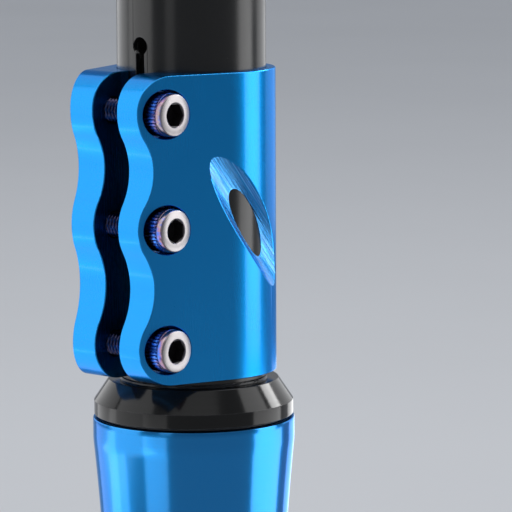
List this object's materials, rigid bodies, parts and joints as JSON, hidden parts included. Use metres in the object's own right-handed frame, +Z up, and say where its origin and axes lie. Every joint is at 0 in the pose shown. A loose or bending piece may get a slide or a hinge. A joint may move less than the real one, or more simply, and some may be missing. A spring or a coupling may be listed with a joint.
{
  "type": "steering clamp coupling",
  "caption": "Split collar with side bolts that couples a slit oversize tube to a steerer above an integrated headset and flared head tube.",
  "frame": {"origin": "on the steering axis, in the lower end face of the steerer", "axes": "+Z up the steering axis, -Y through the middle of the collar's slot, +X towards the bolt heads"},
  "size_m": [0.0476, 0.0531, 0.2287],
  "materials": {
    "anodised_blue": "bright dipped and blue anodised aluminium",
    "satin_black": "satin black paint over steel tube",
    "anodised_black": "polished black anodised aluminium",
    "oil_slick": "thin heat colours of blue, violet and pink over bright metal",
    "dark_steel": "turned alloy steel with a thin oil film",
    "bearing_steel": "ground and lapped bearing steel",
    "plain_aluminium": "turned aluminium",
    "seal_rubber": "moulded nitrile rubber",
    "cage_brass": "pressed brass ball cage"
  },
  "bodies": {
    "head_tube": {"head_tube": "anodised_blue", "upper_outer_race": "bearing_steel", "upper_seal": "seal_rubber", "upper_inner_seal": "seal_rubber", "lower_outer_race": "bearing_steel", "lower_seal": "seal_rubber", "lower_inner_seal": "seal_rubber"},
    "column": {"fork_steerer": "dark_steel", "crown_race": "dark_steel", "lower_inner_race": "bearing_steel", "upper_inner_race": "bearing_steel", "compression_ring": "anodised_black", "headset_cover": "anodised_black", "cover_seal": "seal_rubber", "compression_shim": "plain_aluminium", "star_nut": "bearing_steel"},
    "upper_balls": {"upper_ball_set": "bearing_steel", "upper_ball_cage": "cage_brass"},
    "lower_balls": {"lower_ball_set": "bearing_steel", "lower_ball_cage": "cage_brass"},
    "handlebar": {"handlebar_tube": "satin_black", "clamp_collar": "anodised_blue"},
    "preload_cap": {"top_cap": "anodised_black"},
    "preload_screw": {"preload_bolt": "bearing_steel"},
    "lower_washer_body": {"lower_washer": "dark_steel"},
    "lower_bolt_body": {"lower_bolt": "oil_slick"},
    "middle_washer_body": {"middle_washer": "dark_steel"},
    "middle_bolt_body": {"middle_bolt": "oil_slick"},
    "upper_washer_body": {"upper_washer": "dark_steel"},
    "upper_bolt_body": {"upper_bolt": "oil_slick"}
  },
  "joints": [
    {"name": "steering", "type": "hinge", "parent": "head_tube", "child": "column", "pos_m": [0, 0, 0.1175], "axis": [0, 0, 1], "continuous": true},
    {"name": "upper_ball_roll", "type": "hinge", "parent": "head_tube", "child": "upper_balls", "pos_m": [0, 0, 0.1175], "axis": [0, 0, 1], "continuous": true},
    {"name": "lower_ball_roll", "type": "hinge", "parent": "head_tube", "child": "lower_balls", "pos_m": [0, 0, 0.1175], "axis": [0, 0, 1], "continuous": true},
    {"name": "bar_alignment", "type": "hinge", "parent": "column", "child": "handlebar", "pos_m": [0, 0, 0.1175], "axis": [0, 0, 1], "continuous": true},
    {"name": "preload_lift", "type": "slide", "parent": "column", "child": "preload_cap", "axis": [0, 0, 1], "range_m": [0, 0.01]},
    {"name": "preload_turn", "type": "hinge", "parent": "preload_cap", "child": "preload_screw", "pos_m": [0, 0, 0.1175], "axis": [0, 0, 1], "range_deg": [0, 3600]},
    {"name": "lower_bolt_out", "type": "slide", "parent": "handlebar", "child": "lower_washer_body", "axis": [1, 0, 0], "range_m": [0, 0.0065]},
    {"name": "lower_bolt_turn", "type": "hinge", "parent": "lower_washer_body", "child": "lower_bolt_body", "pos_m": [0, -0.0223, 0.137], "axis": [1, 0, 0], "range_deg": [0, 2340]},
    {"name": "middle_bolt_out", "type": "slide", "parent": "handlebar", "child": "middle_washer_body", "axis": [1, 0, 0], "range_m": [0, 0.0065]},
    {"name": "middle_bolt_turn", "type": "hinge", "parent": "middle_washer_body", "child": "middle_bolt_body", "pos_m": [0, -0.0223, 0.1648], "axis": [1, 0, 0], "range_deg": [0, 2340]},
    {"name": "upper_bolt_out", "type": "slide", "parent": "handlebar", "child": "upper_washer_body", "axis": [1, 0, 0], "range_m": [0, 0.0065]},
    {"name": "upper_bolt_turn", "type": "hinge", "parent": "upper_washer_body", "child": "upper_bolt_body", "pos_m": [0, -0.0223, 0.1913], "axis": [1, 0, 0], "range_deg": [0, 2340]}
  ],
  "couplings": [
    {"joint": "upper_ball_roll", "follows": "steering", "ratio": 0.4606},
    {"joint": "lower_ball_roll", "follows": "steering", "ratio": 0.4606},
    {"joint": "preload_turn", "follows": "preload_lift", "rad_per_m": 6283.2},
    {"joint": "lower_bolt_turn", "follows": "lower_bolt_out", "rad_per_m": 6283.2},
    {"joint": "middle_bolt_turn", "follows": "middle_bolt_out", "rad_per_m": 6283.2},
    {"joint": "upper_bolt_turn", "follows": "upper_bolt_out", "rad_per_m": 6283.2}
  ]
}
